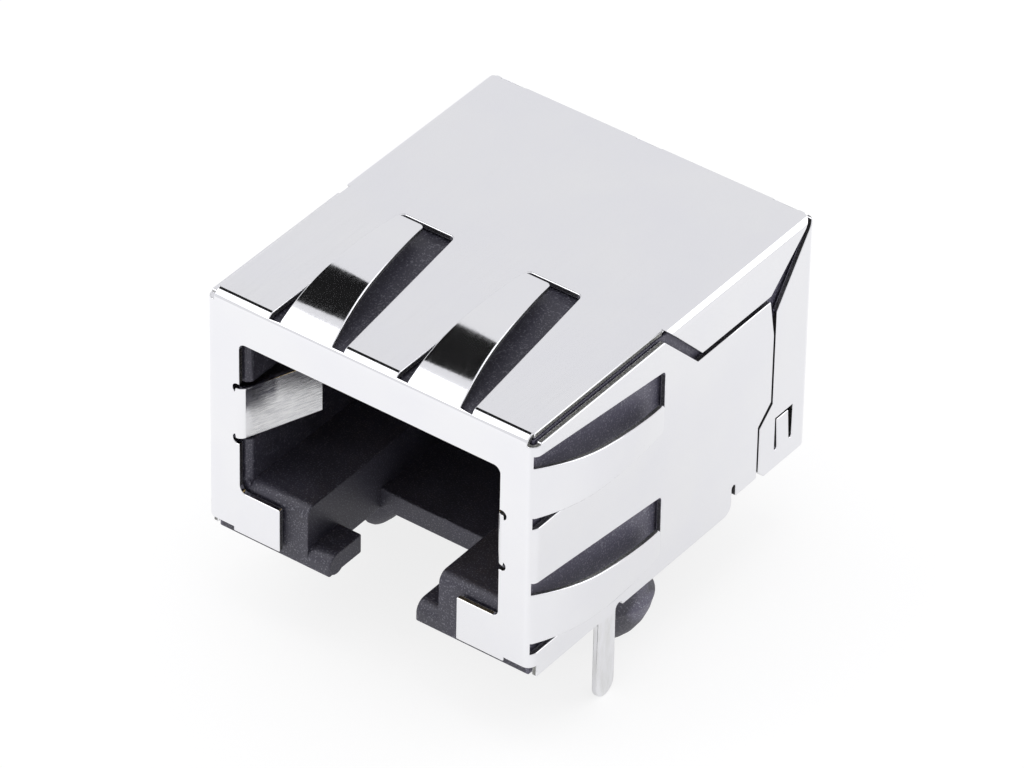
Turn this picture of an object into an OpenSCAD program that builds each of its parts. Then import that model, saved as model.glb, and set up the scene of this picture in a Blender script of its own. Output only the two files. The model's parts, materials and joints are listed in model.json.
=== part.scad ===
// Shielded 8-position modular jack for a printed circuit board.
// The folded sheet shield wraps a black moulded housing; a moulded insert
// behind the plug cavity carries eight gold-plated spring contacts.
// Frame: the board is the plane z = 0, the port faces -Y, +X is to the right
// seen from the port, and the origin lies midway between the two pegs.

/* [Shield] */
// Width over the two side walls
shield_w = 15.5; // [14.5:0.1:18]
// Depth from the front face to the rear cover
shield_d = 18; // [17.6:0.1:21]
// Height of the top face above the board
shield_h = 11.5; // [11.2:0.1:14]
// Thickness of the sheet
sheet_t = 0.25; // [0.15:0.01:0.3]
// Outer radius of every right-angle fold
bend_r = 0.4; // [0.35:0.01:0.6]
// Height of the front face's lower edge above the board
front_lift = 0.42; // [0.2:0.01:0.8]
// Height of the side walls' lower edge above the board
side_lift = 0.05; // [0.02:0.01:0.15]
// Side of the relief notch at each lower front corner
corner_relief = 1.3; // [0.5:0.05:1.4]
// How far the relief notch rises above the front face's lower edge
corner_relief_rise = 0.18; // [0.05:0.01:0.3]

/* [Port opening] */
// Distance of the opening's side edges outside the plug cavity
port_margin = 0.25; // [0.15:0.01:0.4]
// Distance from the top face down to the opening
port_drop = 1.95; // [1.7:0.05:2.4]
// Height of the steps at both sides of the latch gap
port_step_z = 2.42; // [2.2:0.01:2.6]
// Width of the latch gap below the steps
port_gap_w = 8.45; // [7.6:0.05:9]
// Radius of the opening's corners
port_r = 0.3; // [0.1:0.05:0.5]

/* [Ground tabs] */
// Height of each tab that touches the plug's side
tab_h = 2.4; // [1.5:0.1:2.8]
// Height of the tab's lower edge above the board
tab_z = 4.95; // [4.4:0.05:5.4]
// Length of the tab behind its fold
tab_l = 3.4; // [2:0.1:4]
// Angle through which the tab is folded back
tab_angle = 69; // [60:1:80]
// Distance of the tab's fold line outside the opening's edge
tab_inset = 0.2; // [0.1:0.01:0.3]
// Radius of the round relief notches at the tab's root
tab_relief_r = 0.22; // [0.1:0.01:0.25]

/* [Spring fingers] */
// Distance between the two fingers of one wall
finger_spacing = 6; // [5.6:0.1:6.4]
// Height of the lower side finger's centre line above the board
side_finger_z = 2.95; // [2.8:0.05:3.2]
// Width of a top finger at its root
top_finger_w = 2.5; // [2.2:0.05:2.8]
// Width of a side finger at its root
side_finger_w = 2.4; // [2.2:0.05:2.8]
// Width of every finger at its free tip
finger_tip_w = 1.28; // [0.9:0.02:1.4]
// Distance that a finger's tip lies sideways of its root
finger_lean = 0.92; // [0.6:0.02:1]
// Length of the straight stretch between a finger's fold and its bow
finger_ramp_l = 0.4; // [0.3:0.05:1]
// Distance of the finger's crest behind the front face
finger_crest_y = 3.5; // [3:0.1:5]
// Height of the crest above the wall
finger_rise = 0.7; // [0.5:0.02:1.2]
// Distance of the tip behind the front face
finger_tip_y = 7.8; // [7:0.1:7.9]
// Height of the tip above the wall
finger_tip_rise = 0.34; // [0.28:0.02:0.44]
// Distance of the slot's start behind the front face
slot_y0 = 0.1; // [0.05:0.01:0.2]
// Distance of the slot's end behind the front face
slot_y1 = 8.27; // [8.1:0.01:8.3]
// Width of a top slot at the front
top_slot_w = 3.5; // [3.3:0.05:3.6]
// Width of a side slot at the front
side_slot_w = 3.4; // [3.3:0.05:3.5]
// Width of every slot at its rear end
slot_end_w = 2.55; // [2.4:0.05:2.8]
// Radius of the corners at a slot's rear end and a finger's tip
slot_r = 0.22; // [0.1:0.01:0.3]

/* [Side walls] */
// Distance of the side walls' upper edge below the top face
wall_drop = 0.3; // [0.26:0.01:0.5]
// Distance of the top plate's free side edges inside the walls' outer faces
plate_inset = 0.33; // [0.26:0.01:0.4]
// Distance of the raised rear stretch of the lower edge behind the front face
step_y = 13; // [12.5:0.1:13.5]
// Height of that raised stretch above the board
step_z = 0.7; // [0.5:0.05:1]
// Radius of the rounded corner before the raised stretch
step_r = 0.45; // [0.2:0.05:0.5]
// Width of the small relief notch in the raised stretch
step_notch_w = 0.26; // [0.15:0.01:0.4]
// Height of the small relief notch
step_notch_h = 0.48; // [0.3:0.02:0.6]
// Distance of the wall's rear edge behind the front face
wall_rear_y = 15.46; // [15.2:0.02:15.54]
// Distance of the lower stretch of that edge behind the front face
wall_low_y = 14.64; // [14.3:0.02:14.7]
// Height where the rear edge starts to lean forward
wall_lean_z = 3.95; // [3.6:0.05:4.4]
// Height where the lean ends
wall_lean_low_z = 3.2; // [2.9:0.05:3.4]
// Height where the rear edge's upper corner is cut off
wall_corner_z = 7.2; // [6.8:0.1:8]

/* [Side flaps] */
// Distance of the flap's front corner at the top face behind the front face
flap_y0 = 8.42; // [8.4:0.02:8.8]
// Distance of the flap's rear corner at the top face before the rear cover
flap_rear = 0.25; // [0.22:0.01:0.4]
// Depth of the flap below the top face
flap_drop = 2.3; // [1.8:0.1:2.6]
// Distance that the flap's front edge leans to the rear
flap_lean = 2.24; // [1.8:0.02:2.6]
// Distance that the flap's rear edge leans to the front
flap_rear_lean = 2.6; // [2.4:0.05:2.8]
// Gap between the flap and the notch in the side wall
flap_gap = 0.25; // [0.1:0.01:0.35]

/* [Rear cover] */
// Width of each of the three bridges that carry the cover
bridge_w = 1.15; // [0.8:0.05:1.5]
// Distance between the bridges
bridge_spacing = 6.5; // [6:0.05:6.6]
// Distance of the top plate's rear edge before the cover's outer face
plate_short = 0.2; // [0.1:0.01:0.3]
// Gap between the top face and the cover's upper edge
cover_drop = 0.5; // [0.42:0.01:0.7]
// Gap between the top face and the ears at the cover's upper corners
ear_drop = 0.2; // [0.16:0.01:0.3]
// Distance of the ears' front corner before the cover's outer face
ear_y = 0.15; // [0.1:0.01:0.2]
// Height of the cover's lower edge above the board
cover_lift = 0.48; // [0.3:0.02:0.7]
// Distance of the wings' front edge behind the front face
wing_y = 15.6; // [15.45:0.05:15.8]
// Distance of the wings' lower lobe behind the front face
wing_low_y = 14.76; // [14.65:0.01:14.9]
// Height where the wing's front edge starts to lean to the rear
wing_lean_z = 8.2; // [8:0.1:8.4]
// Height by which the wing's lower lean lies below the wall's
lean_gap = 0.2; // [0.05:0.01:0.3]
// Cut at the lobe's lower corner
wing_cut = 0.4; // [0.2:0.05:0.6]

/* [Latch tongues] */
// Distance of the tongue's centre line before the cover's outer face
tongue_rear = 1.62; // [1.4:0.02:1.8]
// Width of the window around the tongue
tongue_window_w = 1.16; // [1:0.02:1.4]
// Width of the tongue
tongue_w = 0.8; // [0.5:0.02:0.9]
// Height of the tongue's root above the board
tongue_z = 1.45; // [1.3:0.05:1.6]
// Length of the tongue
tongue_l = 1.3; // [0.9:0.05:1.4]
// Angle through which the tongue is pressed inwards
tongue_angle = 3; // [1:0.5:8]

/* [Ground tails] */
// Distance of each tail's centre line behind the front face
tail_y = 4.9; // [4.4:0.1:5.4]
// Width of a tail
tail_w = 1.13; // [0.8:0.01:1.2]
// Length of a tail below the board's surface
tail_l = 3.78; // [2.8:0.02:4]
// Radius of the relief notch behind a tail
tail_relief_r = 0.22; // [0.1:0.01:0.3]

/* [Locating pegs] */
// Distance between the two pegs
peg_spacing = 11.43; // [11.2:0.01:11.6]
// Distance of the pegs behind the front face
peg_y = 7.83; // [7.4:0.01:8.4]
// Diameter of the peg's neck, which fits the board's hole
peg_d = 3.2; // [2.8:0.05:3.3]
// Length of the neck, about the thickness of the board
peg_neck_l = 1.05; // [0.8:0.05:1.2]
// Diameter over the barb below the neck
barb_d = 3.6; // [3.3:0.05:3.7]
// Height of the flare between the neck and the barb
barb_flare = 0.3; // [0.2:0.05:0.4]
// Length of the whole peg below the board's surface
peg_l = 3.3; // [2.8:0.1:3.6]
// Diameter of the peg's flat nose
peg_nose_d = 1.5; // [1.2:0.1:1.8]
// Width of the slot that splits the peg into two legs
peg_slot_w = 1; // [0.6:0.05:1.2]
// Distance of the slot's blind end below the board's surface
peg_slot_z = 0.6; // [0.4:0.05:0.9]
// Diameter of the shallow relief round the peg's root
peg_relief_d = 4; // [3.8:0.1:4.4]
// Depth of that relief
peg_relief_t = 0.15; // [0.1:0.05:0.3]

/* [Housing] */
// Clearance between the housing and the inside of the shield
fit_gap = 0.1; // [0.05:0.01:0.15]
// Thickness of the housing's walls beside the plug cavity
cavity_wall = 1.5; // [1.42:0.02:1.54]
// Height of the ledges on which the plug slides
ledge_z = 2.82; // [2.7:0.02:2.9]
// Height of the plug cavity above the ledges
cavity_h = 6.76; // [6.7:0.02:6.8]
// Distance of the cavity's rear end behind the front face
cavity_y1 = 10.5; // [10.2:0.1:10.8]
// Width of the slot for the plug's latch
latch_w = 6.25; // [6.1:0.05:6.4]
// Distance of the open part of the slot behind the front face
latch_open_y = 4.95; // [4.5:0.05:5.4]
// Thickness of the floor behind the open part
latch_floor_t = 1; // [0.8:0.05:1.1]
// Distance that each catch stands into the slot
catch_w = 1.06; // [0.9:0.02:1.1]
// Length of a catch
catch_l = 2; // [1.6:0.05:2.4]
// Height of a catch
catch_h = 0.9; // [0.7:0.05:1]
// Radius of the catch's upper front edge
catch_r = 0.5; // [0.2:0.05:0.6]
// Radius of the ledges' front edge
ledge_r = 0.45; // [0.2:0.05:0.6]
// Height of the underside above the board behind the walls' raised stretch
rear_rise = 0.75; // [0.6:0.05:1]
// Depth of the lead-in chamfer round the cavity's mouth
lead_in = 0.2; // [0.1:0.05:0.3]
// Clearance of the recess round a ground tab, above and below it
tab_room = 0.16; // [0.1:0.01:0.25]
// Distance that the recess for a ground tab reaches into the wall
tab_recess = 0.95; // [0.8:0.05:1.1]
// Length of the recess for a ground tab
tab_recess_l = 4.4; // [4:0.1:5]
// Thickness of the housing's walls beside the insert
chamber_wall = 1.1; // [1:0.05:1.3]
// Thickness of the housing's roof above the insert
roof_t = 0.5; // [0.4:0.02:0.6]
// Thickness of the lip that covers the contacts at the front
lip_t = 1.2; // [0.9:0.1:1.4]
// Clearance beside the outermost contacts in the recess of the cavity's ceiling
ceiling_gap = 0.58; // [0.4:0.02:0.7]

/* [Contact insert] */
// Clearance between the insert and the housing
insert_gap = 0.06; // [0.03:0.01:0.1]
// Distance of the insert's rear face before the housing's rear face
insert_rear = 0.2; // [0.1:0.05:0.4]
// Height of the insert's underside above the board
insert_lift = 0.15; // [0.1:0.05:0.4]
// Cut along the insert's rear edges
insert_cut = 0.4; // [0.2:0.05:0.6]

/* [Contacts] */
// Distance between neighbouring contacts in the cavity
contact_spacing = 1.02; // [0.98:0.01:1.04]
// Width of a contact
contact_w = 0.4; // [0.3:0.01:0.45]
// Thickness of a contact
contact_t = 0.3; // [0.25:0.01:0.32]
// Radius of the insert's nose, round which each contact is folded
nose_r = 0.3; // [0.25:0.01:0.32]
// Distance of the nose's centre behind the front face
nose_y = 2.4; // [2.2:0.1:2.6]
// Angle at which the spring leg slopes down to the rear
leg_angle = 26; // [22:1:27]
// Length of the spring leg
leg_l = 5.3; // [4.6:0.1:5.4]
// Distance between neighbouring tails across both rows
pin_spacing = 1.27; // [1.2:0.01:1.3]
// Distance of the front row of tails behind the pegs
row_y = 6.35; // [6:0.05:6.4]
// Distance between the two rows of tails
row_spacing = 2.54; // [2.4:0.02:2.54]
// Length of the tails below the board's surface
pin_l = 3.2; // [2.6:0.1:3.6]
// Length of the tapered tip of a tail
pin_tip_l = 0.4; // [0.2:0.05:0.6]
// Outer radius of the fold above each tail
pin_bend_r = 0.6; // [0.5:0.05:0.8]
// Distance of the stretch where the contacts spread, behind the cavity
spread_y = 0.6; // [0.4:0.1:0.8]
// Length of that stretch
spread_l = 2; // [1.6:0.1:2.4]
// Clearance of the channels in the insert round each contact
channel_gap = 0.03; // [0.02:0.01:0.05]

/* [Hidden] */
$fn = 48;

// Overrun of every cut past the face that it leaves
over = 0.05;
// Overlap of two stretches of one piece where they join
lap = 0.02;
// Overlap of a finger's straight stretch with its bow
bow_lap = 0.1;
contact_count = 8;

METAL = [0.86, 0.86, 0.88];
PLASTIC = [0.09, 0.09, 0.1];
GOLD = [0.85, 0.68, 0.35];

half_w = shield_w / 2;
// Inner faces of the shield's walls
inner_x = half_w - sheet_t;
inner_z = shield_h - sheet_t;
// Outer faces of the housing
case_x = inner_x - fit_gap;
case_y0 = sheet_t + fit_gap;
case_y1 = shield_d - sheet_t - fit_gap;
case_z1 = inner_z - fit_gap;

cavity_w = 2 * (case_x - cavity_wall);
chamber_w = 2 * (case_x - chamber_wall);
port_w = cavity_w + 2 * port_margin;
port_top = shield_h - port_drop;
wall_top = shield_h - wall_drop;
flap_z = shield_h - flap_drop;
flap_y1 = shield_d - flap_rear;
flap_low_y0 = flap_y0 + flap_lean;
flap_low_y1 = flap_y1 - flap_rear_lean;
tongue_y = shield_d - tongue_rear;
cavity_top = ledge_z + cavity_h;
ceiling_w = (contact_count - 1) * contact_spacing + contact_w + 2 * ceiling_gap;
insert_top = case_z1 - roof_t - insert_gap;
contact_z = insert_top - contact_t;
// Centre of the fold at the insert's nose
nose_z = contact_z - nose_r;
fold_r = nose_r + contact_t;

// Slope of a finger's straight stretch and radius of the bow that follows it without a kink
bow_run = finger_crest_y - bend_r;
lift_angle = 2 * atan(finger_rise / (bow_run + finger_ramp_l));
crest_r = bend_r + (bow_run - finger_ramp_l * cos(lift_angle)) / sin(lift_angle);
// Arc from the crest down to the tip, drawn past the tip, where the outline cuts it
tip_drop = finger_rise - finger_tip_rise;
tip_run = finger_tip_y - finger_crest_y;
tip_arc_r = (pow(tip_run, 2) + pow(tip_drop, 2)) / (2 * tip_drop);
tip_angle = asin((tip_run + 2 * over) / tip_arc_r);

// Moves what is drawn from the front face to the frame of the pegs
module from_front() translate([0, -peg_y, 0]) children();

// Extrudes an outline drawn in Y and Z along X, from x0 over width
module across(x0, width) {
    translate([x0, 0, 0]) rotate([90, 0, 90]) linear_extrude(width) children();
}

// Extrudes an outline drawn in X and Z along Y, from y0 over depth
module along(y0, depth) {
    translate([0, y0 + depth, 0]) rotate([90, 0, 0]) linear_extrude(depth) children();
}

// Extrudes an outline drawn in X and Y upwards, from z0 over height
module upright(z0, height) translate([0, 0, z0]) linear_extrude(height) children();

// Draws the children and their mirror image on the other side
module both_sides() {
    children();
    mirror([1, 0, 0]) children();
}

// Flat arc of outer radius r and width t, from angle a0 to a1, about the origin
module arc(r, t, a0, a1) {
    reach = 2 * r;
    middle = (a0 + a1) / 2;
    intersection() {
        difference() {
            circle(r, $fn = 96);
            circle(r - t, $fn = 96);
        }
        polygon([[0, 0], reach * [cos(a0), sin(a0)], reach * [cos(middle), sin(middle)],
                 reach * [cos(a1), sin(a1)]]);
    }
}

// Rectangle with four rounded corners, between two corner points
module rounded(x0, y0, x1, y1, r) {
    translate([x0 + r, y0]) square([x1 - x0 - 2 * r, y1 - y0]);
    translate([x0, y0 + r]) square([x1 - x0, y1 - y0 - 2 * r]);
    for (x = [x0 + r, x1 - r], y = [y0 + r, y1 - r]) translate([x, y]) circle(r);
}

// Outline along Y that narrows from w0 to w1, its rear end set off sideways by lean and rounded
module taper(y0, y1, w0, w1, lean, r) {
    left = [r - w1 / 2 - lean, y1 - r];
    right = [w1 / 2 - lean - r, y1 - r];
    polygon([[-w0 / 2, y0], [w0 / 2, y0], [right.x + r, right.y], right, [right.x, y1],
             [left.x, y1], left, [left.x - r, left.y]]);
    for (centre = [left, right]) translate(centre) circle(r);
}

// Opening in a wall for one finger; the wall's outer face is z = 0
module finger_slot(w) {
    upright(-bend_r, bend_r + over)
        taper(slot_y0, slot_y1, w, slot_end_w, (w - slot_end_w) / 2, slot_r);
}

// One bowed spring finger; the wall's outer face is z = 0
module finger(w) {
    intersection() {
        across(-w / 2 - finger_lean, w + 2 * finger_lean) {
            translate([bend_r, -bend_r]) {
                arc(bend_r, sheet_t, 90 + lift_angle, 180);
                rotate(lift_angle) translate([-lap, bend_r - sheet_t])
                    square([finger_ramp_l + lap + bow_lap, sheet_t]);
            }
            translate([finger_crest_y, finger_rise - crest_r])
                arc(crest_r, sheet_t, 90, 90 + lift_angle);
            translate([finger_crest_y, finger_rise - tip_arc_r])
                arc(tip_arc_r, sheet_t, 90 - tip_angle, 90);
        }
        upright(-bend_r, bend_r + finger_rise + over)
            taper(-over, finger_tip_y, w, finger_tip_w, finger_lean, slot_r);
    }
}

// Places for the fingers of the top and of the two sides
module top_fingers() {
    for (side = [-1, 1]) translate([side * finger_spacing / 2, 0, shield_h]) children();
}

module side_fingers() {
    both_sides() for (k = [0, 1])
        translate([half_w, 0, side_finger_z + k * finger_spacing]) rotate([0, 90, 0])
            mirror([1, 0, 0]) children();
}

// Outline of the opening in the front face
module port_outline() {
    rounded(-port_w / 2, port_step_z, port_w / 2, port_top, port_r);
    translate([-port_gap_w / 2, 0]) square([port_gap_w, port_step_z + port_r]);
    for (side = [-1, 1]) translate([side * (port_w + tab_inset) / 2, tab_z]) {
        translate([-tab_inset / 2, 0]) square([tab_inset, tab_h]);
        for (edge = [0, tab_h]) translate([0, edge]) circle(tab_relief_r);
    }
}

module front_face() {
    flat_x = half_w - bend_r;
    along(0, sheet_t) difference() {
        translate([-flat_x, front_lift]) square([2 * flat_x, shield_h - bend_r - front_lift]);
        port_outline();
        for (side = [-1, 1])
            translate([side * (flat_x + bend_r - corner_relief / 2), front_lift])
                square([corner_relief, 2 * corner_relief_rise], center = true);
    }
}

// Fold between the front face and the top plate
module top_fold() {
    flat_x = half_w - bend_r;
    across(-flat_x, 2 * flat_x) translate([bend_r, shield_h - bend_r])
        arc(bend_r, sheet_t, 90, 180);
}

// Folds between the front face and the side walls
module side_folds() {
    low = front_lift + corner_relief_rise;
    both_sides() upright(low, shield_h - bend_r - low) translate([half_w - bend_r, bend_r])
        arc(bend_r, sheet_t, 270, 360);
}

// Tab that is folded back from the opening's edge into the cavity
module ground_tab() {
    fold_x = port_w / 2 + tab_inset;
    both_sides() translate([-fold_x, bend_r, 0]) upright(tab_z, tab_h) {
        arc(bend_r, sheet_t, 270, 270 + tab_angle);
        rotate(tab_angle - 90) translate([bend_r - sheet_t, -lap]) square([sheet_t, tab_l + lap]);
    }
}

// Top plate, cut back where the three bridges fold down from it
module top_plate() {
    flat_x = half_w - bend_r;
    flat_y = shield_d - bend_r;
    free_x = half_w - plate_inset;
    upright(inner_z, sheet_t) difference() {
        union() {
            translate([-free_x, bend_r]) square([2 * free_x, flap_y0 - bend_r]);
            translate([-flat_x, bend_r]) square([2 * flat_x, shield_d - plate_short - bend_r]);
        }
        for (k = [-1, 0, 1]) translate([k * bridge_spacing - bridge_w / 2, flat_y])
            square([bridge_w, bend_r]);
    }
}

// Flap that is folded down from the top plate into the side wall's notch
module side_flap() {
    both_sides() intersection() {
        across(0, half_w + over)
            polygon([[flap_y0, shield_h], [flap_low_y0, flap_z], [flap_low_y1, flap_z],
                     [flap_y1, shield_h]]);
        union() {
            along(flap_y0, flap_y1 - flap_y0)
                translate([half_w - bend_r, shield_h - bend_r]) arc(bend_r, sheet_t, 0, 90);
            translate([inner_x, flap_y0, 0]) cube([sheet_t, flap_y1 - flap_y0, shield_h - bend_r]);
        }
    }
}

// Side wall with its notch for the flap, the step and the ground tail
module side_wall() {
    notch_z = flap_z - flap_gap;
    notch_y0 = flap_y0 - flap_gap;
    both_sides() across(inner_x, sheet_t) difference() {
        union() {
            polygon([[bend_r, side_lift], [step_y - step_r, side_lift], [step_y - step_r, step_z],
                     [wall_low_y, step_z], [wall_low_y, wall_lean_low_z], [wall_rear_y, wall_lean_z],
                     [wall_rear_y, wall_corner_z], [flap_low_y1, notch_z],
                     [flap_low_y0 - flap_gap, notch_z], [notch_y0, wall_top], [bend_r, wall_top]]);
            step_corner();
            tail_outline();
        }
        translate([tail_y + tail_w / 2 + tail_relief_r, side_lift]) circle(tail_relief_r);
        translate([step_y, step_z - over]) square([step_notch_w, step_notch_h + over]);
        translate([step_y + step_notch_w / 2, step_z + step_notch_h]) circle(step_notch_w / 2);
    }
}

// Quarter-round corner where the lower edge steps up
module step_corner() {
    translate([step_y - step_r, side_lift + step_r]) circle(step_r);
    translate([step_y - step_r - lap, side_lift + step_r])
        square([step_r + lap, step_z - side_lift - step_r + lap]);
}

// Ground tail with a round tip
module tail_outline() {
    translate([tail_y - tail_w / 2, tail_w / 2 - tail_l])
        square([tail_w, tail_l - tail_w / 2 + side_lift + lap]);
    translate([tail_y, tail_w / 2 - tail_l]) circle(tail_w / 2);
}

// Rear cover, carried by three bridges that fold down from the top plate
module rear_cover() {
    flat_x = half_w - bend_r;
    flat_z = shield_h - bend_r;
    along(shield_d - sheet_t, sheet_t) {
        translate([-flat_x, cover_lift]) square([2 * flat_x, shield_h - cover_drop - cover_lift]);
        for (k = [-1, 0, 1]) translate([k * bridge_spacing - bridge_w / 2, shield_h - cover_drop - lap])
            square([bridge_w, cover_drop - bend_r + lap]);
    }
    for (k = [-1, 0, 1]) across(k * bridge_spacing - bridge_w / 2, bridge_w)
        translate([shield_d - bend_r, flat_z]) arc(bend_r, sheet_t, 0, 90);
}

// Wing that is folded forward from the cover, with its window
module wing() {
    flat_y = shield_d - bend_r;
    ear_z = shield_h - ear_drop;
    slit_w = (tongue_window_w - tongue_w) / 2;
    both_sides() {
        intersection() {
            across(0, half_w + over) difference() {
                polygon([[shield_d + over, cover_lift], [wing_low_y + wing_cut, cover_lift],
                         [wing_low_y, cover_lift + wing_cut],
                         [wing_low_y, wall_lean_low_z - lean_gap], [wing_y, wall_lean_z - lean_gap],
                         [wing_y, wing_lean_z], [shield_d - ear_y, ear_z], [shield_d + over, ear_z]]);
                translate([tongue_y - tongue_window_w / 2, tongue_z])
                    square([tongue_window_w, tongue_l + slit_w]);
                for (side = [-1, 1])
                    translate([tongue_y + side * (tongue_w + slit_w) / 2, tongue_z]) circle(slit_w / 2);
            }
            union() {
                upright(0, shield_h) translate([half_w - bend_r, flat_y]) arc(bend_r, sheet_t, 0, 90);
                translate([inner_x, wing_low_y, 0]) cube([sheet_t, flat_y - wing_low_y, shield_h]);
            }
        }
        latch_tongue();
    }
}

// Tongue in the wing's window, pressed inwards from its root
module latch_tongue() {
    translate([half_w, tongue_y - tongue_w / 2, tongue_z]) rotate([0, -tongue_angle, 0])
        translate([-sheet_t, 0, -lap]) cube([sheet_t, tongue_w, tongue_l + lap]);
}

module shield() {
    color(METAL) from_front() {
        difference() {
            union() {
                front_face();
                top_fold();
                side_folds();
                top_plate();
                side_wall();
            }
            top_fingers() finger_slot(top_slot_w);
            side_fingers() finger_slot(side_slot_w);
        }
        top_fingers() finger(top_finger_w);
        side_fingers() finger(side_finger_w);
        ground_tab();
        side_flap();
        rear_cover();
        wing();
    }
}

// Split peg with a barb, which snaps through the board
module peg() {
    neck_r = peg_d / 2;
    barb_r = barb_d / 2;
    nose_half = peg_nose_d / 2;
    barb_z = -peg_neck_l - barb_flare;
    root_z = peg_relief_t + over;
    taper_h = peg_l + barb_z;
    // Shares of the taper's height and of its change in radius, from barb to nose
    bow_share = [[0.3, 0.14], [0.55, 0.34], [0.78, 0.62]];
    difference() {
        rotate_extrude() polygon(concat(
            [[0, root_z], [neck_r, root_z], [neck_r, -peg_neck_l], [barb_r, barb_z]],
            [for (s = bow_share) [barb_r - s[1] * (barb_r - nose_half), barb_z - s[0] * taper_h]],
            [[nose_half, -peg_l], [0, -peg_l]]));
        translate([-peg_slot_w / 2, -barb_d, -peg_l - over])
            cube([peg_slot_w, 2 * barb_d, peg_l - peg_slot_z + over]);
    }
}

// Places of the two pegs on the board's surface
module peg_places() {
    for (side = [-1, 1]) translate([side * peg_spacing / 2, peg_y, 0]) children();
}

// Catch at the side of the latch slot, with a rounded upper front edge
module latch_catch() {
    both_sides() across(latch_w / 2 - catch_w, catch_w + over) {
        translate([case_y0 + catch_r, 0]) square([catch_l - catch_r, catch_h]);
        translate([case_y0, 0]) square([catch_l, catch_h - catch_r]);
        translate([case_y0 + catch_r, catch_h - catch_r]) circle(catch_r);
    }
}

// Space of the plug, its latch and the chamfered mouth
module plug_space() {
    mouth_y = case_y0 - over;
    across(-cavity_w / 2, cavity_w) {
        translate([mouth_y, ledge_z]) square([cavity_y1 - mouth_y + over, cavity_h]);
        difference() {
            translate([mouth_y, ledge_z - ledge_r]) square([case_y0 + ledge_r - mouth_y, ledge_r + lap]);
            translate([case_y0 + ledge_r, ledge_z - ledge_r]) circle(ledge_r);
        }
    }
    both_sides() upright(ledge_z, cavity_h)
        polygon([[cavity_w / 2 - over, mouth_y], [cavity_w / 2 + lead_in + over, mouth_y],
                 [cavity_w / 2 - over, case_y0 + lead_in + over]]);
    translate([-latch_w / 2, mouth_y, -over])
        cube([latch_w, latch_open_y - mouth_y, ledge_z + 2 * over]);
    translate([-latch_w / 2, mouth_y, latch_floor_t])
        cube([latch_w, cavity_y1 - mouth_y + over, ledge_z - latch_floor_t + over]);
}

// Recesses beside the cavity in which the ground tabs flex
module tab_recesses() {
    both_sides() translate([cavity_w / 2 - over, case_y0 - over, tab_z - tab_room])
        cube([tab_recess + over, tab_recess_l + over, tab_h + 2 * tab_room]);
}

// Pockets into which the latch tongues are pressed
module tongue_pockets() {
    both_sides() translate([case_x - 2 * sheet_t, tongue_y - tongue_window_w / 2, tongue_z])
        cube([2 * sheet_t + over, tongue_window_w, tongue_l + tongue_window_w - tongue_w]);
}

// Chamber for the insert, open to the rear and to the board
module insert_chamber() {
    translate([-chamber_w / 2, cavity_y1, -over])
        cube([chamber_w, case_y1 - cavity_y1 + over, case_z1 - roof_t + over]);
    translate([-ceiling_w / 2, case_y0 + lip_t, cavity_top - over])
        cube([ceiling_w, cavity_y1 - case_y0 - lip_t + over, case_z1 - roof_t - cavity_top + over]);
}

module housing() {
    color(PLASTIC) from_front() {
        difference() {
            translate([-case_x, case_y0, 0]) cube([2 * case_x, case_y1 - case_y0, case_z1]);
            plug_space();
            tab_recesses();
            tongue_pockets();
            insert_chamber();
            translate([-case_x - over, step_y, -over])
                cube([2 * (case_x + over), case_y1 - step_y + over, rear_rise + over]);
            peg_places() translate([0, 0, -over]) cylinder(peg_relief_t + over, d = peg_relief_d);
        }
        latch_catch();
        peg_places() peg();
    }
}

// One contact: k counts from 0 at the left, and room widens it into a channel
module contact_shape(k, room) {
    w = contact_w + 2 * room;
    t = contact_t + 2 * room;
    place = k - (contact_count - 1) / 2;
    x_in = place * contact_spacing - w / 2;
    x_out = place * pin_spacing - w / 2;
    spread_y0 = cavity_y1 + spread_y;
    spread_y1 = spread_y0 + spread_l;
    pin_y = peg_y + row_y + (k % 2) * row_spacing;
    pin_y0 = pin_y - t / 2;
    bottom = contact_z - room;
    across(x_in, w) {
        translate([nose_y, nose_z]) arc(fold_r + room, t, 90, 270 - leg_angle);
        translate([nose_y, nose_z]) rotate(-leg_angle) translate([-lap, -fold_r - room])
            square([leg_l + lap, t]);
        translate([nose_y - lap, bottom]) square([spread_y0 - nose_y + 2 * lap, t]);
    }
    upright(bottom, t)
        polygon([[x_in, spread_y0], [x_in + w, spread_y0], [x_out + w, spread_y1], [x_out, spread_y1]]);
    across(x_out, w) {
        translate([spread_y1 - lap, bottom])
            square([pin_y + contact_t / 2 - pin_bend_r - spread_y1 + 2 * lap, t]);
        translate([pin_y + contact_t / 2 - pin_bend_r, contact_z + contact_t - pin_bend_r])
            arc(pin_bend_r + room, t, 0, 90);
        translate([pin_y0, pin_tip_l - pin_l])
            square([t, contact_z + contact_t - pin_bend_r + pin_l - pin_tip_l + lap]);
        polygon([[pin_y0, pin_tip_l - pin_l + lap], [pin_y0 + t / 4, -pin_l],
                 [pin_y0 + 3 * t / 4, -pin_l], [pin_y0 + t, pin_tip_l - pin_l + lap]]);
    }
}

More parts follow.
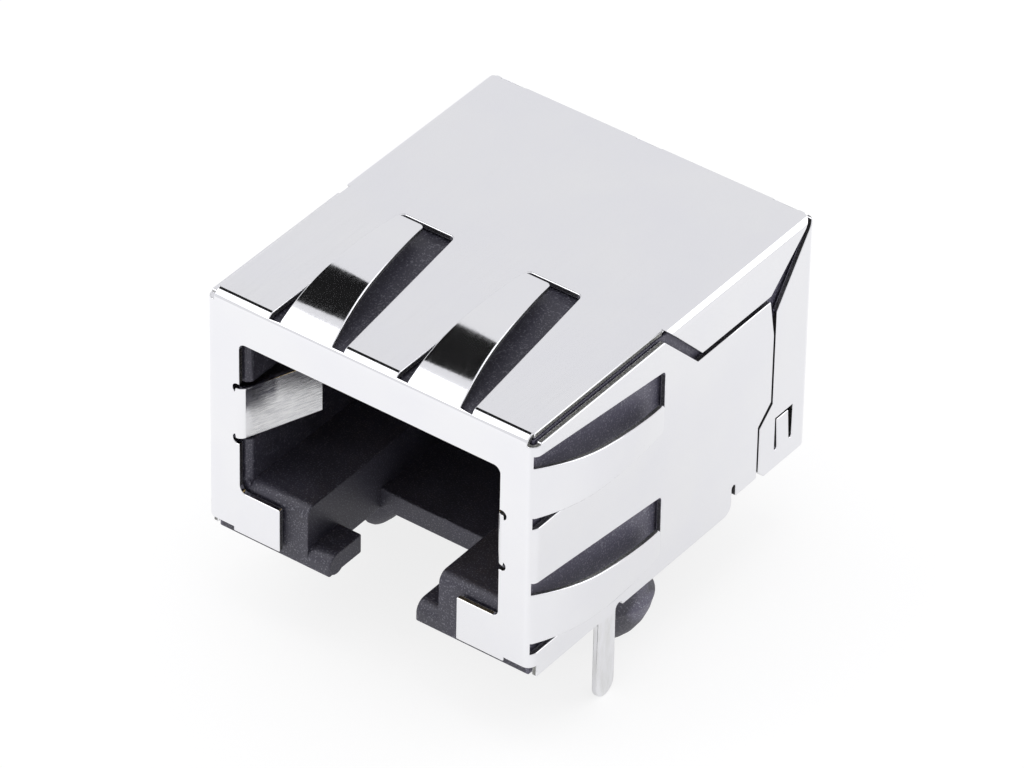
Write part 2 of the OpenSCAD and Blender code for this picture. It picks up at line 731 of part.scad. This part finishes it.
module contact_insert() {
    arm_x = ceiling_w / 2 - insert_gap;
    block_x = chamber_w / 2 - insert_gap;
    block_y0 = cavity_y1 + insert_gap;
    block_y1 = case_y1 - insert_rear;
    color(PLASTIC) from_front() difference() {
        union() {
            across(-arm_x, 2 * arm_x) {
                translate([nose_y, nose_z - nose_r])
                    square([block_y0 - nose_y + lap, insert_top - nose_z + nose_r]);
                translate([nose_y, nose_z]) circle(nose_r);
            }
            across(-block_x, 2 * block_x)
                polygon([[block_y0, insert_lift], [block_y1 - insert_cut, insert_lift],
                         [block_y1, insert_lift + insert_cut], [block_y1, insert_top - insert_cut],
                         [block_y1 - insert_cut, insert_top], [block_y0, insert_top]]);
        }
        for (k = [0 : contact_count - 1]) contact_shape(k, channel_gap);
    }
}

module contact(k) {
    color(GOLD) from_front() contact_shape(k, 0);
}

shield();
housing();
contact_insert();
contact(0);  // contact_1
contact(1);  // contact_2
contact(2);  // contact_3
contact(3);  // contact_4
contact(4);  // contact_5
contact(5);  // contact_6
contact(6);  // contact_7
contact(7);  // contact_8
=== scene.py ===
"""Finish and light for the shielded board jack.

Bright plated sheet, black mouldings and gold-plated contacts.
"""

import json
import math

import bmesh
import bpy
from mathutils import Matrix, Vector


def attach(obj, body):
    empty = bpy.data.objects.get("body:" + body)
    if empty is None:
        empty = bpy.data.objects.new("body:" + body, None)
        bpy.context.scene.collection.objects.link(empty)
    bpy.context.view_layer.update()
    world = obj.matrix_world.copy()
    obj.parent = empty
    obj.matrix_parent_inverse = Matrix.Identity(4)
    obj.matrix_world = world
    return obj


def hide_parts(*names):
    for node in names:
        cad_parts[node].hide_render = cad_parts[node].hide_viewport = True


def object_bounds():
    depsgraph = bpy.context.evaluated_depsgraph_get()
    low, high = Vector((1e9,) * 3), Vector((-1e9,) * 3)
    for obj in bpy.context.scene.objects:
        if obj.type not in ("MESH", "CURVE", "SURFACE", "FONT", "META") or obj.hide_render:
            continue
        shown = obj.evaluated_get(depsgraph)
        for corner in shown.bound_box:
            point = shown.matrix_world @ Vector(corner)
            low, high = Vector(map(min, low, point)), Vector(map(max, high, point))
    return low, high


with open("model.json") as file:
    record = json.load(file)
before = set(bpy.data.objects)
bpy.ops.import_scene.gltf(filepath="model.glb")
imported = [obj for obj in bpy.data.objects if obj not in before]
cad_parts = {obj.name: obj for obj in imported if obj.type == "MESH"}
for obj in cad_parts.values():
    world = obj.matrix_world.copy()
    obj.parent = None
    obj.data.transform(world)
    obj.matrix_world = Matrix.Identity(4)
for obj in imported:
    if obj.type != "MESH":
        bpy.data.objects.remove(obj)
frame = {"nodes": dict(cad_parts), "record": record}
cad_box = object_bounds()
MM = 0.001


# ---------------------------------------------------------------- shader formulas
class Signal:
    """One output in a material, with the signs of ordinary arithmetic."""

    def __init__(self, finish, socket):
        self.finish, self.socket = finish, socket

    def _math(self, operation, *values):
        return self.finish.node("ShaderNodeMath", {"operation": operation}, values)

    def __add__(self, other):
        return self._math("ADD", self, other)

    def __rsub__(self, other):
        return self._math("SUBTRACT", other, self)

    def __mul__(self, other):
        return self._math("MULTIPLY", self, other)

    def __abs__(self):
        return self._math("ABSOLUTE", self)

    __radd__ = __add__
    __rmul__ = __mul__

    def between(self, low, high, start=0.0, end=1.0):
        """Spreads low..high over start..end and holds it there."""
        limits = [self, low, high, start, end]
        return self.finish.node("ShaderNodeMapRange", {"clamp": True}, limits)

    def between_mm(self, low, high, start=0.0, end=1.0):
        """The same for a distance, with its limits in millimetres."""
        return self.between(low * MM, high * MM, start, end)


MIX_SHARE, MIX_FIRST, MIX_SECOND, MIX_COLOUR = 0, 6, 7, 2


class Finish:
    """A material under construction, with its Principled shader."""

    def __init__(self, name, **constants):
        self.material = bpy.data.materials.new(name)
        self.material.use_nodes = True
        self.tree = self.material.node_tree
        self.shader = self.tree.nodes["Principled BSDF"]
        for label, value in constants.items():
            self.shader.inputs[label.replace("_", " ")].default_value = value

    def node(self, kind, settings=None, values=(), output=0):
        """Adds a node: its settings first, then the values or links of its sockets."""
        made = self.tree.nodes.new(kind)
        for key, value in (settings or {}).items():
            setattr(made, key, value)
        pairs = values.items() if isinstance(values, dict) else enumerate(values)
        for key, value in pairs:
            if isinstance(value, Signal):
                self.tree.links.new(value.socket, made.inputs[key])
            else:
                made.inputs[key].default_value = value
        return Signal(self, made.outputs[output])

    def along(self, axis):
        """The place on the part along one axis."""
        spot = self.node("ShaderNodeTexCoord", output="Object")
        return self.node("ShaderNodeSeparateXYZ", {}, [spot], axis)

    def noise(self, scale, detail, rough, stretch=(1, 1, 1), turn=(0, 0, 0)):
        """A pattern fixed to the part, stretched and turned where the material has a grain."""
        spot = self.node("ShaderNodeTexCoord", output="Object")
        where = self.node("ShaderNodeMapping", {},
                          {"Vector": spot, "Rotation": turn, "Scale": stretch})
        return self.node("ShaderNodeTexNoise", {},
                         {"Vector": where, "Scale": scale, "Detail": detail, "Roughness": rough})

    def mix(self, share, first, second):
        """A colour between two colours."""
        first, second = (colour if isinstance(colour, Signal) else (*colour, 1.0)
                         for colour in (first, second))
        return self.node("ShaderNodeMix", {"data_type": "RGBA"},
                         {MIX_SHARE: share, MIX_FIRST: first, MIX_SECOND: second}, MIX_COLOUR)

    def bump(self, height, strength, depth, normal=None):
        """Relief of so many millimetres, over another relief if one is given."""
        values = {"Strength": strength, "Distance": depth * MM, "Height": height}
        if normal:
            values["Normal"] = normal
        return self.node("ShaderNodeBump", {}, values)

    def feed(self, **links):
        """Links the shader's sockets and gives the finished material."""
        for label, value in links.items():
            self.tree.links.new(value.socket, self.shader.inputs[label.replace("_", " ")])
        return self.material


# ---------------------------------------------------------------- finishes
CLOUDED_PLATE, CLEAR_PLATE = (0.9, 0.9, 0.93), (0.925, 0.925, 0.94)
SCRUBBED_DULL, SCRUBBED_BRIGHT = (0.86, 0.86, 0.88), (1.0, 1.0, 1.0)
TAB_SHADE = (0.12, 0.12, 0.16)
# Sheared faces: the dark of a torn fracture, deepened by painted shade
TORN_DARK_SHADED, TORN_PALE_SHADED = (0.1, 0.1, 0.095), (0.45, 0.45, 0.43)
HANDLED_TAIL = (0.82, 0.82, 0.82)
SKIN_IN_PAINTED_LIGHT, PALE_SPECK_AND_GLINT = (0.086, 0.081, 0.118), (0.26, 0.26, 0.3)
TIN = (0.72, 0.72, 0.74)
DEEP_GOLD, PALE_GOLD = (0.86, 0.6, 0.24), (0.92, 0.68, 0.32)


def plated_sheet():
    """Bright plated sheet: faint rolling lines, cloudy patches, and never quite flat."""
    f = Finish("plated_sheet", Metallic=1.0)
    side, depth, height = (f.along(axis) for axis in "XYZ")
    above_board = height.between_mm(-0.1, 0.1)
    rolled = f.noise(scale=900, detail=3.0, rough=0.6, stretch=(9, 0.35, 9))
    cloud = f.noise(scale=260, detail=4.0, rough=0.55)
    wave = f.noise(scale=110, detail=1.0, rough=0.4)
    tint = f.mix(cloud.between(0.35, 0.7), CLOUDED_PLATE, CLEAR_PLATE)
    rough = 0.06 + rolled.between(0.3, 0.75, 0.0, 0.05) + cloud.between(0.4, 0.75, 0.0, 0.02)

    # The ground tabs inside the port are scrubbed along their length, and carry a painted shadow
    # of the port's corner in their upper corner by the fold
    inside_walls = abs(side).between_mm(6.9, 6.6)
    behind_face = depth.between_mm(-7.5, -7.3)
    front_half = depth.between_mm(-2.0, -2.5)
    below_top = height.between_mm(10.6, 10.4)
    tab = inside_walls * behind_face * front_half * below_top
    scrubbed = f.noise(scale=15000, detail=3.0, rough=0.6, stretch=(0.3, 0.06, 1),
                       turn=(-0.12, 0, 0))
    scrubbed = scrubbed.between(0.36, 0.64)
    shadow_by_fold = depth.between_mm(-6.25, -6.45) * height.between_mm(6.1, 6.9)
    shade = tab * shadow_by_fold * scrubbed.between(0.0, 1.0, 0.95, 0.45)
    tint = f.mix(tab, tint, f.mix(scrubbed, SCRUBBED_DULL, SCRUBBED_BRIGHT))
    # Painted shadow: the tab's upper corner by the fold is painted dark, broken up by the
    # scrubbing
    tint = f.mix(shade, tint, TAB_SHADE)
    tab_rough = tab * scrubbed.between(0.0, 1.0, 0.08, 0.02)

    # Sheared faces are torn and dark: partly their own rough fracture, partly painted shade, left
    # out where the light reaches them
    cut_and_shade = f.node("ShaderNodeAttribute", {"attribute_name": "cut_face_in_shade"}, output="Fac") * above_board
    torn = f.noise(scale=14000, detail=3.0, rough=0.65).between(0.35, 0.7)
    # Painted shade, together with the fracture's own dark, on the marked sheared faces
    tint = f.mix(cut_and_shade, tint, f.mix(torn, TORN_DARK_SHADED, TORN_PALE_SHADED))
    cut_rough = cut_and_shade * torn.between(0.0, 1.0, 0.34, 0.2)

    # The tails are dulled by handling and solder
    dulled = f.noise(scale=2600, detail=3.0, rough=0.6, stretch=(1, 1, 0.3))
    tail = (1.0 - above_board) * dulled.between(0.35, 0.7)
    tint = f.mix(tail, tint, HANDLED_TAIL)
    rough = rough + cut_rough + tab_rough + tail * 0.15

    # The rolling lines open where the top fingers are drawn up out of the plate
    drawn = height.between_mm(11.52, 11.8, 1.0, 2.6)
    lines = f.bump(rolled * drawn + tab * scrubbed, strength=0.09, depth=0.004)
    surface = f.bump(wave, strength=0.06, depth=0.03, normal=lines)
    return f.feed(Base_Color=tint, Roughness=rough, Normal=surface)


def black_moulding(name, shade, rough):
    """Glass-filled black plastic: a fine eroded skin with pale fibre specks, partly painted
    glints, and greyer outside with painted light.
    """
    f = Finish(name, Specular_IOR_Level=0.9, Specular_Tint=(0.93, 0.91, 1.0, 1.0))
    skin = f.noise(scale=9000, detail=3.0, rough=0.6)
    speck = f.noise(scale=16000, detail=1.0, rough=0.5)
    flow = f.noise(scale=500, detail=2.0, rough=0.5)
    darker = tuple(0.8 * c for c in shade)
    paler = tuple(1.25 * c for c in shade)
    tint = f.mix(flow.between(0.35, 0.65), darker, paler)
    # Painted light: the plastic by the walls and under the top is painted greyer, as if lit,
    # against the shaded inside of the port
    at_walls = abs(f.along("X")).between_mm(7.2, 7.35)
    at_top = f.along("Z").between_mm(11.2, 11.4)
    outside = at_walls + at_top
    tint = f.mix(outside.between(0.0, 1.0), tint, SKIN_IN_PAINTED_LIGHT)
    # The pale specks are glass fibre and partly painted glints, fullest where the painted light is
    specks = speck.between(0.58, 0.68) * outside.between(0.0, 1.0, 0.4, 1.0)
    tint = f.mix(specks, tint, PALE_SPECK_AND_GLINT)
    rough = rough + flow.between(0.3, 0.7, -0.05, 0.05)
    surface = f.bump(skin, strength=0.35, depth=0.02)
    return f.feed(Base_Color=tint, Roughness=rough, Normal=surface)


def gold_plate():
    """Gold over the spring leg, dull tin on the tail that goes through the board."""
    f = Finish("gold_plate", Metallic=1.0)
    plated = f.along("Z").between_mm(0.2, 0.6)
    drawn = f.noise(scale=3000, detail=3.0, rough=0.6)
    gold = f.mix(drawn.between(0.3, 0.7), DEEP_GOLD, PALE_GOLD)
    tint = f.mix(plated, TIN, gold)
    rough = 0.32 - plated * 0.16 + drawn.between(0.3, 0.7, 0.0, 0.08)
    surface = f.bump(drawn, strength=0.1, depth=0.005)
    return f.feed(Base_Color=tint, Roughness=rough, Normal=surface)


finishes = {
    "plated_sheet": plated_sheet(),
    "black_plastic": black_moulding("black_plastic", (0.017, 0.016, 0.027), 0.5),
    "insert_plastic": black_moulding("insert_plastic", (0.016, 0.0155, 0.019), 0.58),
    "gold_plate": gold_plate(),
}
SLOT_OF = {part["node"]: part["material_slot"] for part in frame["record"]["subparts"]}
for node, slot in SLOT_OF.items():
    cad = frame["nodes"][node]
    cad.data.materials.clear()
    cad.data.materials.append(finishes[slot])


# ---------------------------------------------------------------- arrises
CORNER = math.radians(35)      # a fold's facets meet at less, an arris at more
FLAT = math.radians(0.6)       # triangles of one flat face
UNSEEN = 0.003 * MM            # a step or a face too narrow to see
SIDE_BY_SIDE = 0.9             # cosine between two edges that leave a point together
SHORT = 0.3 * MM               # the longer edge of such a pair, at most
BOUNDED = 0.6                  # share of a sheared face's outline that is sharp
FACING_UP = 0.7                # upward part of a face's normal
ARRIS = 1                      # material slot that marks a worn arris until its normals are set


def width(face):
    """A long strip's width, whatever its length."""
    return 2 * face.calc_area() / face.calc_perimeter()


def corners(mesh):
    """The outer arrises, without those of a step too small to see. Where two of them leave a
    point nearly side by side, the longer of a short pair stays sharp."""
    sharp = {e for e in mesh.edges if e.is_manifold and e.is_convex
             and e.calc_face_angle() > CORNER and min(map(width, e.link_faces)) > UNSEEN}

    def leaves(edge, point):
        return (edge.other_vert(point).co - point.co).normalized()

    doubled = {e for e in sharp if e.calc_length() < SHORT and any(
        o in sharp and o.calc_length() < e.calc_length()
        and leaves(e, v).dot(leaves(o, v)) > SIDE_BY_SIDE
        for v in e.verts for o in v.link_edges if o is not e)}
    return sharp - doubled


def mark_sheared_in_shade(faces, mark, sharp, limit):
    """Marks the narrow faces, sharp on both sides, for the dark of sheared metal and painted
    shade.
    Those that face up on the left half stay bright, as the light reaches them there."""
    for face in faces:
        bounded = sum(e.calc_length() for e in face.edges if e in sharp)
        bright = face.normal.z > FACING_UP and face.calc_center_median().x < 0
        if width(face) < limit and bounded > BOUNDED * face.calc_perimeter() and not bright:
            face[mark] = 1.0


def even_normals(shape):
    """Broad faces stay flat, bends are round, and a worn arris turns from one neighbour to
    the other."""
    look = bmesh.new()
    look.from_mesh(shape)
    breadth = {face: width(face) ** 2 for face in look.faces}
    normals = []
    for face in look.faces:
        for corner in face.loops:
            every = list(corner.vert.link_loops)
            around = [c for c in every if c.face.material_index != ARRIS] or every
            if face.material_index != ARRIS:
                around = [c for c in around if c.face.normal.angle(face.normal, 0.0) < CORNER]
            total = sum((c.face.normal * (c.calc_angle() * breadth[c.face]) for c in around),
                        Vector())
            normals.append(total.normalized() if total.length else face.normal.copy())
    look.free()
    shape.normals_split_custom_set(normals)


def merged_copy(cad, name):
    """A copy of a CAD part with its loose triangles merged into whole faces. It is left in
    edit mode with nothing selected."""
    shape = cad.data.copy()
    shape.transform(cad.matrix_world)
    piece = bpy.data.objects.new(name, shape)
    bpy.context.scene.collection.objects.link(piece)
    bpy.ops.object.select_all(action="DESELECT")
    piece.select_set(True)
    bpy.context.view_layer.objects.active = piece
    bpy.ops.mesh.customdata_custom_splitnormals_clear()
    shape.materials.append(None)
    shape.attributes.new("cut_face_in_shade", "FLOAT", "FACE")
    bpy.ops.object.mode_set(mode="EDIT")
    bpy.ops.mesh.select_mode(type="EDGE")
    bpy.ops.mesh.select_all(action="SELECT")
    bpy.ops.mesh.remove_doubles(threshold=UNSEEN)
    bpy.ops.mesh.dissolve_limited(angle_limit=FLAT, use_dissolve_boundaries=False)
    bpy.ops.mesh.normals_make_consistent(inside=False)
    bpy.ops.mesh.select_all(action="DESELECT")
    return piece


def worn(node, name, radius, cut_limit=0.0):
    """Puts a merged copy in a CAD part's place, with its arrises worn round. Faces narrower
    than the limit are marked as sheared through, to be darkened partly by painted shade.
    Both lengths are in millimetres."""
    piece = merged_copy(frame["nodes"][node], name)
    shape = piece.data
    edit = bmesh.from_edit_mesh(shape)
    mark = edit.faces.layers.float["cut_face_in_shade"]
    sharp = corners(edit)
    mark_sheared_in_shade(edit.faces, mark, sharp, cut_limit * MM)
    for edge in sharp:
        edge.select = True
    bmesh.update_edit_mesh(shape)
    bpy.ops.mesh.bevel(offset=radius * MM, segments=2, affect="EDGES", clamp_overlap=False,
                       material=ARRIS)
    for face in edit.faces:
        if face.material_index == ARRIS:
            face[mark] = 0.0
    bmesh.update_edit_mesh(shape)
    bpy.ops.object.mode_set(mode="OBJECT")
    bpy.ops.object.shade_smooth()
    even_normals(shape)
    for face in shape.polygons:
        face.material_index = 0
    shape.materials.pop()
    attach(piece, "root")
    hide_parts(node)


worn("shield", "shield_worn", 0.05, cut_limit=0.28)
worn("housing", "housing_worn", 0.06)

# ---------------------------------------------------------------- camera
# Fitted to the photograph: degrees, millimetres, and the focal length in the photo's pixels
AZIMUTH, ELEVATION, ROLL = math.radians(36.076), math.radians(37.581), math.radians(-1.120)
AIM = Vector((0.0, 1.17, 5.75))
DISTANCE = 309.26
SHIFT_RIGHT, SHIFT_UP = 0.0493, -0.5282
FOCAL_PIXELS, PHOTO_WIDTH = 8071.16, 1024
SENSOR = 36.0

back = Vector((math.sin(AZIMUTH) * math.cos(ELEVATION),
               -math.cos(AZIMUTH) * math.cos(ELEVATION), math.sin(ELEVATION)))
level_right = Vector((math.cos(AZIMUTH), math.sin(AZIMUTH), 0.0))
level_up = back.cross(level_right)
right = level_right * math.cos(ROLL) - level_up * math.sin(ROLL)
up = level_right * math.sin(ROLL) + level_up * math.cos(ROLL)
eye = AIM + back * DISTANCE + right * SHIFT_RIGHT + up * SHIFT_UP
camera = bpy.data.objects.new("camera", bpy.data.cameras.new("camera"))
bpy.context.scene.collection.objects.link(camera)
turned = Matrix((right, up, back)).transposed().to_4x4()
camera.matrix_world = Matrix.Translation(eye * MM) @ turned
camera.data.sensor_width = SENSOR
camera.data.lens = SENSOR * FOCAL_PIXELS / PHOTO_WIDTH
camera.data.clip_start = 0.01
camera.data.clip_end = 20.0
bpy.context.scene.camera = camera


# ---------------------------------------------------------------- floor, cards and lamps
FLOOR_SIZE = 3000


def mirrored(forward=0.0, sideways=0.0):
    """Where the flat top looks, seen by the camera, once it leans forward or to the right by
    so many degrees."""
    lean_forward = Matrix.Rotation(math.radians(forward), 3, "X")
    lean_sideways = Matrix.Rotation(math.radians(sideways), 3, "Y")
    return (-back).reflect(lean_forward @ lean_sideways @ Vector((0.0, 0.0, 1.0)))


def facing_jack(first, last, distance):
    """A place between two directions, turned to the jack, and the length that spans them."""
    span = (last - first) * distance
    outward = (first + last).normalized()
    along = (span - outward * span.dot(outward)).normalized()
    axes = Matrix((along, outward.cross(along), outward)).transposed().to_4x4()
    return Matrix.Translation(outward * distance * MM) @ axes, span.length


def softbox(name, first, last, distance, width, radiance, reflected=True):
    """A lamp that spans two directions from the jack, as bright as a surface of that radiance."""
    place, length = facing_jack(first, last, distance)
    lamp = bpy.data.lights.new(name, "AREA")
    lamp.shape, lamp.size, lamp.size_y = "RECTANGLE", length * MM, width * MM
    lamp.energy = math.pi * radiance * lamp.size * lamp.size_y
    box = bpy.data.objects.new(name, lamp)
    bpy.context.scene.collection.objects.link(box)
    box.matrix_world = place
    box.visible_glossy = reflected


def flat_sheet(name, length, width, place, material):
    bpy.ops.object.select_all(action="DESELECT")
    bpy.ops.mesh.primitive_plane_add(size=1.0)
    sheet = bpy.context.active_object
    sheet.name = name
    sheet.matrix_world = place @ Matrix.Diagonal((length * MM, width * MM, 1, 1))
    sheet.data.materials.append(material)
    return sheet


def grey(value):
    return (value, value, value)


def white_floor():
    """A white floor: the camera and the metal see it nearly as bright as its own light, with a
    faint shadow. The metal sees it a little darker to the right, a painted shadow for the side
    walls to reflect."""
    f = Finish("floor", Roughness=0.9, Specular_IOR_Level=0.0, Emission_Strength=1.0)
    camera_ray, mirror_ray, clear_ray = (f.node("ShaderNodeLightPath", output=kind) for kind in (
        "Is Camera Ray", "Is Glossy Ray", "Is Transmission Ray"))
    shown = camera_ray + clear_ray

    def by_ray(for_light, for_mirror, for_camera):
        return f.mix(shown, f.mix(mirror_ray, for_light, for_mirror), for_camera)

    # Painted shadow: the floor's glow in the metal's reflections is lower to the right of the jack
    shadow_to_right = f.along("X").between(6 / FLOOR_SIZE, 15 / FLOOR_SIZE)
    mirror_glow_in_shadow = f.mix(shadow_to_right, grey(0.47), grey(0.385))
    return f.feed(Base_Color=by_ray(grey(0.86), grey(0.5), grey(0.22)),
                  Emission_Color=by_ray(grey(0.12), mirror_glow_in_shadow, grey(0.8)))


def black_card():
    """Matt black, the same all over."""
    return Finish("dark_card", Roughness=0.9, Specular_IOR_Level=0.0,
                  Base_Color=(*grey(0.012), 1.0)).material


floor_place = Matrix.Translation((0, 0, cad_box[0].z))
flat_sheet("floor", FLOOR_SIZE, FLOOR_SIZE, floor_place, white_floor())

card_place, card_length = facing_jack(mirrored(forward=2.3), mirrored(forward=19.0), 500)
dark_card = flat_sheet("dark_card", card_length, 170, card_place, black_card())
dark_card.visible_camera = dark_card.visible_diffuse = dark_card.visible_shadow = False

softbox("left_softbox", mirrored(forward=20.5), mirrored(forward=52.0), distance=520,
        width=260, radiance=1.3)
softbox("rear_softbox", mirrored(sideways=27.0), mirrored(sideways=60.0), distance=520,
        width=240, radiance=1.06)
overhead, spread = Vector((0.1, -0.06, 1.0)).normalized(), Vector((0.2, 0, 0))
softbox("overhead_softbox", overhead - spread, overhead + spread, distance=620,
        width=248, radiance=2.1, reflected=False)

world = bpy.data.worlds.new("studio")
bpy.context.scene.world = world
world.use_nodes = True
sky = world.node_tree.nodes["Background"]
sky.inputs["Color"].default_value = (0.98, 0.98, 1.0, 1)
sky.inputs["Strength"].default_value = 0.82
bpy.context.scene.view_settings.view_transform = "Standard"
